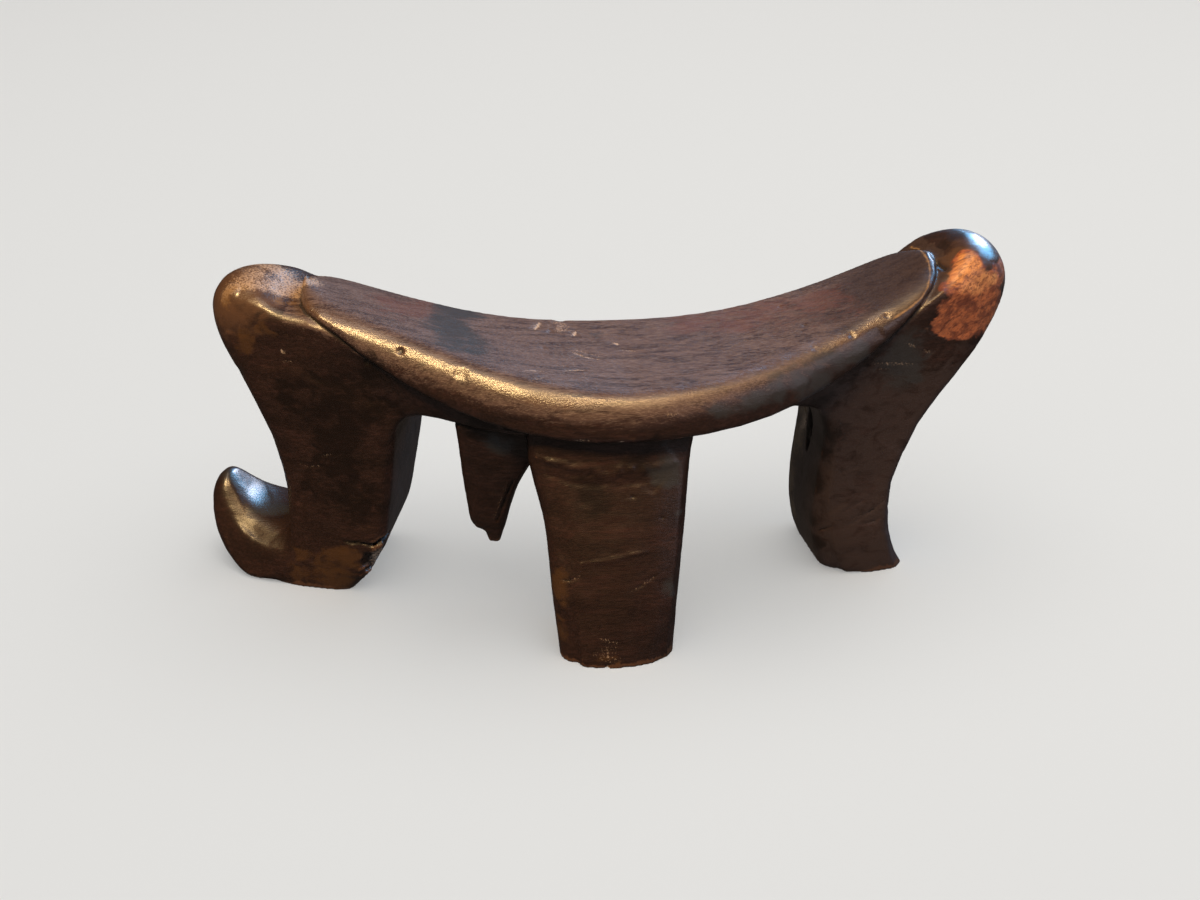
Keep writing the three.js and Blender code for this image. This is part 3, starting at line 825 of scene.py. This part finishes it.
# %% Lay its colours over each other
# A colour shows where its mask is stronger than its pattern, so the pattern eats into its edge.
HEART = "#180d0c"
SAPPY = "#301d1a"
SMOOTHEST = 0.30
ROUGHEST = 0.44
LAYERS = [
    # mask, colour, roughness, strength, pattern that breaks it up, how much
    (None, "#110806", 0.40, 0.65, "streaks", 1.0),
    (None, "#443026", 0.42, 0.16, "dust", 1.3),
    # painted sheen on the right leg
    ("right_leg_sheen", "#352b2b", 0.40, 0.75, "mottle", 0.8),
    ("seat", "#2f2121", 0.34, 0.80, "figure", 0.6),
    ("seat", "#54433f", 0.40, 0.55, "wipes", 1.15),
    ("seat", "#87776f", 0.48, 0.25, "dust", 1.5),
    # painted shade on the seat's right end
    ("dim", "#241917", 0.36, 0.70, "figure", 0.4),
    ("knobs", "#4c3628", 0.38, 0.75, "mottle", 0.45),
    # painted shade, near black
    ("painted_shade", "#0d0706", 0.38, 0.75, "mottle", 0.8),
    # painted light, olive brown
    ("inner_face_light", "#6b5a44", 0.45, 0.60, "streaks", 0.9),
    ("amber", "#432d14", 0.36, 0.60, "mottle", 0.8),
    ("red", "#54332b", 0.36, 0.50, "streaks", 0.9),
    ("grey", "#2a2b2f", 0.34, 0.85, "mottle", 0.5),
    # the seat's ridge: a warmer brown of worn polish, and partly a painted highlight along its golden
    # line
    ("ridge", "#4e382a", 0.28, 0.50, "mottle", 0.6),
    ("dusty", "#a8917e", 0.60, 0.60, "grit", 1.0),
    ("golden", "#6e5232", 0.36, 0.60, "mottle", 0.8),
    ("bare", "#5e3220", 0.45, 0.95, "grit", 0.3),
    ("bare", "#9a5a34", 0.45, 0.80, "mottle", 1.1),
    ("fresh", "#b98150", 0.40, 0.90, "mottle", 0.7),
    ("edges", "#5a3e2c", 0.32, 0.50, "mottle", 0.6),
    # painted highlight, pale gold, along the edge of the seat's right end
    ("rim_highlight", "#a5845c", 0.40, 0.50, "mottle", 0.5),
    ("hollows", "#0c0605", 0.60, 0.85, "mottle", 0.2),
    ("pale", "#a39080", 0.60, 0.75, "grit", 0.7),
]
colour = add(grain, "ShaderNodeMix", {"data_type": "RGBA", 6: linear(HEART), 7: linear(SAPPY)},
             {0: pattern["figure"]}).outputs[2]
roughness = add(grain, "ShaderNodeMapRange", {"To Min": SMOOTHEST, "To Max": ROUGHEST},
                {"Value": pattern["mottle"]}).outputs[0]
for name, code, rough, strength, breaks, amount in LAYERS:
    left = add(grain, "ShaderNodeMath", {"operation": "MULTIPLY_ADD", 1: -amount, 2: 1.0},
               {0: pattern[breaks], 2: mask[name]} if name else {0: pattern[breaks]})
    share = add(grain, "ShaderNodeMapRange",
                {"interpolation_type": "SMOOTHSTEP", "From Max": 0.7, "To Max": strength},
                {"Value": left.outputs[0]}).outputs[0]
    colour = add(grain, "ShaderNodeMix", {"data_type": "RGBA", 7: linear(code)},
                 {0: share, 6: colour}).outputs[2]
    roughness = add(grain, "ShaderNodeMix", {"data_type": "FLOAT", 3: rough},
                    {0: share, 2: roughness}).outputs[0]
print("laid", len(LAYERS), "colours over each other")

# %% Darken the torn fibres of the bare wood
TORN = "#4c2317"

torn = add(grain, "ShaderNodeMath", {"operation": "MULTIPLY"},
           {0: mask["bare"], 1: pattern["fibres"]})
torn_share = add(grain, "ShaderNodeMapRange", {"From Min": 0.35, "From Max": 0.85, "To Max": 0.8},
                 {"Value": torn.outputs[0]})
colour = add(grain, "ShaderNodeMix", {"data_type": "RGBA", 7: linear(TORN)},
             {0: torn_share.outputs[0], 6: colour}).outputs[2]
print("the torn fibres are", TORN)

# %% Raise its grain
BUMPS = {"streaks": 0.45, "pores": -0.4, "mottle": 0.35, "grit": 0.15, "scratches": -0.3}
BUMP_HEIGHT = 0.09 * MM

height = None
for name, share in BUMPS.items():
    step = add(grain, "ShaderNodeMath", {"operation": "MULTIPLY_ADD", 1: share, 2: 0.0},
               {0: pattern[name]})
    if height:
        grain.links.new(height, step.inputs[2])
    height = step.outputs[0]
pits = add(grain, "ShaderNodeMath", {"operation": "MULTIPLY"},
           {0: mask["ridge"], 1: pattern["grit"]})
pitted = add(grain, "ShaderNodeMath", {"operation": "MULTIPLY_ADD", 1: 1.0},
             {0: pits.outputs[0], 2: height})
bump = add(grain, "ShaderNodeBump", {"Strength": 0.8, "Distance": BUMP_HEIGHT},
           {"Height": pitted.outputs[0]})
print("the grain is about", round(BUMP_HEIGHT / MM, 2), "mm deep")

# %% Polish it
# The hard skin of oil and smoke is a coat over the wood. It is thin all over and full where hands
# rub most, and grit breaks its shine into specks, as on real patina.
THIN_COAT = 0.08
FULL_COAT = 0.95

rubbed = add(grain, "ShaderNodeMath", {"operation": "MAXIMUM"},
             {0: mask["polished"], 1: mask["glossy"]})
speckled = add(grain, "ShaderNodeMath", {"operation": "MULTIPLY_ADD", 1: -0.6, 2: 1.2},
               {0: pattern["grit"]})
shiny = add(grain, "ShaderNodeMath", {"operation": "MULTIPLY"},
            {0: rubbed.outputs[0], 1: speckled.outputs[0]})
gloss = add(grain, "ShaderNodeMapRange", {"To Min": THIN_COAT, "To Max": FULL_COAT},
            {"Value": shiny.outputs[0]})
shader = add(grain, "ShaderNodeBsdfPrincipled",
             {"IOR": 1.5, "Specular IOR Level": 0.5, "Coat Roughness": 0.2, "Coat IOR": 1.5},
             {"Base Color": colour, "Roughness": roughness, "Normal": bump.outputs[0],
              "Coat Weight": gloss.outputs[0], "Coat Normal": bump.outputs[0]})
add(grain, "ShaderNodeOutputMaterial", links={"Surface": shader.outputs[0]})
skin.materials.clear()
skin.materials.append(wood)
print("the wood has", len(grain.nodes), "nodes")

# %% Finish the carving
bpy.ops.object.select_all(action="DESELECT")
carving.select_set(True)
bpy.context.view_layer.objects.active = carving
bpy.ops.object.shade_smooth()
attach(carving, "root")
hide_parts("headrest")
print(carving.name, "stands for the frame's headrest")

# %% [markdown]
# ## Floor and light
# A plain pale floor under soft studio light. One large lamp could light it all, but polished dark
# wood shows little more than what it mirrors, so each highlight gets a lamp of its own, which lights
# the carving only. Three warm strips draw the golden line along the seat, a cool window at the back
# right glints on the toe and the right knob, and a pale wall behind gives the seat its sheen. Two
# wide white panels overhead light the floor only, so that it stays even. The carving casts a soft
# shadow in the light of the first, and the second fills that shadow in.

# %% Lay the floor
FLOOR_SIZE = 12
PAPER = "#e4e4e2"

bpy.ops.object.select_all(action="DESELECT")
bpy.ops.mesh.primitive_plane_add(size=FLOOR_SIZE, location=(0, 0, 0))
floor = bpy.context.active_object
floor.name = "floor"

# Matt paper scatters the light that falls on it, so the floor has no glints.
paper = bpy.data.materials.new("matt_paper")
paper.use_nodes = True
sheet = paper.node_tree.nodes["Principled BSDF"].inputs
sheet["Base Color"].default_value = linear(PAPER)
sheet["Roughness"].default_value = 0.9
sheet["Specular IOR Level"].default_value = 0.0
floor.data.materials.append(paper)
floor.visible_glossy = False
print("the floor is", FLOOR_SIZE, "m wide")

# %% Hang the lights
only_carving = bpy.data.collections.new("lights_of_the_carving")
only_carving.objects.link(carving)
only_floor = bpy.data.collections.new("lights_of_the_floor")
only_floor.objects.link(floor)

LIGHTS = [
    # name, place, aim and size in m, watts, colour, what it lights, what casts its shadows
    ("floor_panel", (0.7, 0.4, 3.2), (0.1, 0, 0), (5.0, 5.0), 65, "#ffffff", only_floor, None),
    ("floor_fill", (0.0, 0.0, 3.6), (0, 0, 0), (7.0, 7.0), 170, "#ffffff", only_floor, only_floor),
    ("overhead", (-0.2, -0.3, 2.2), (0, 0, 0.1), (1.6, 1.6), 16, "#fff2e4", only_carving, None),
    ("right_fill", (1.5, -1.1, 0.8), (0.1, 0, 0.1), (0.9, 0.9), 5, "#e4e0f0", only_carving, None),
    ("warm_strip_left", (-0.51, -0.50, 1.12), (-0.1, 0, 0.15), (0.46, 0.14), 19, "#ffd492",
     only_carving, None),
    ("warm_strip_middle", (0.12, -0.48, 1.18), (0.0, 0, 0.15), (0.22, 0.14), 7, "#ffce8c",
     only_carving, None),
    ("warm_strip_right", (0.50, -0.45, 1.20), (0.05, 0, 0.15), (0.5, 0.2), 2, "#ffc88e",
     only_carving, None),
    ("window", (1.05, 0.91, 0.89), (0.1, 0, 0.15), (1.5, 0.8), 40, "#6cc4ff", only_carving, None),
    ("back_wall", (1.6, 2.2, 1.2), (0, 0, 0.12), (1.0, 0.7), 46, "#f4e2e4", only_carving, None),
]
for name, where, aim, size, watts, tint, lit, shading in LIGHTS:
    bpy.ops.object.select_all(action="DESELECT")
    bpy.ops.object.light_add(type="AREA", location=where)
    lamp = bpy.context.active_object
    lamp.name = name
    lamp.data.shape = "RECTANGLE"
    lamp.data.size, lamp.data.size_y = size
    lamp.data.energy = watts
    lamp.data.color = linear(tint)[:3]
    lamp.rotation_euler = (Vector(where) - Vector(aim)).to_track_quat("Z", "Y").to_euler()
    lamp.light_linking.receiver_collection = lit
    if shading:
        lamp.light_linking.blocker_collection = shading
print("hung", len(LIGHTS), "lights")

# %% Surround it with a pale room
# The camera sees a pale backdrop, and the wood mirrors a dimmer, warmer one.
MIRRORED = "#8f8176"
SEEN = "#e1e1df"

world = bpy.data.worlds.new("studio")
bpy.context.scene.world = world
world.use_nodes = True
sky = world.node_tree
sky.nodes.clear()
path = add(sky, "ShaderNodeLightPath")
dim = add(sky, "ShaderNodeBackground", {"Color": linear(MIRRORED), "Strength": 0.22})
pale = add(sky, "ShaderNodeBackground", {"Color": linear(SEEN), "Strength": 1.0})
both = add(sky, "ShaderNodeMixShader", links={0: path.outputs["Is Camera Ray"],
                                              1: dim.outputs[0], 2: pale.outputs[0]})
add(sky, "ShaderNodeOutputWorld", links={"Surface": both.outputs[0]})
bpy.context.scene.view_settings.view_transform = "Standard"
print("the room is", SEEN, "to the camera and", MIRRORED, "in the gloss")
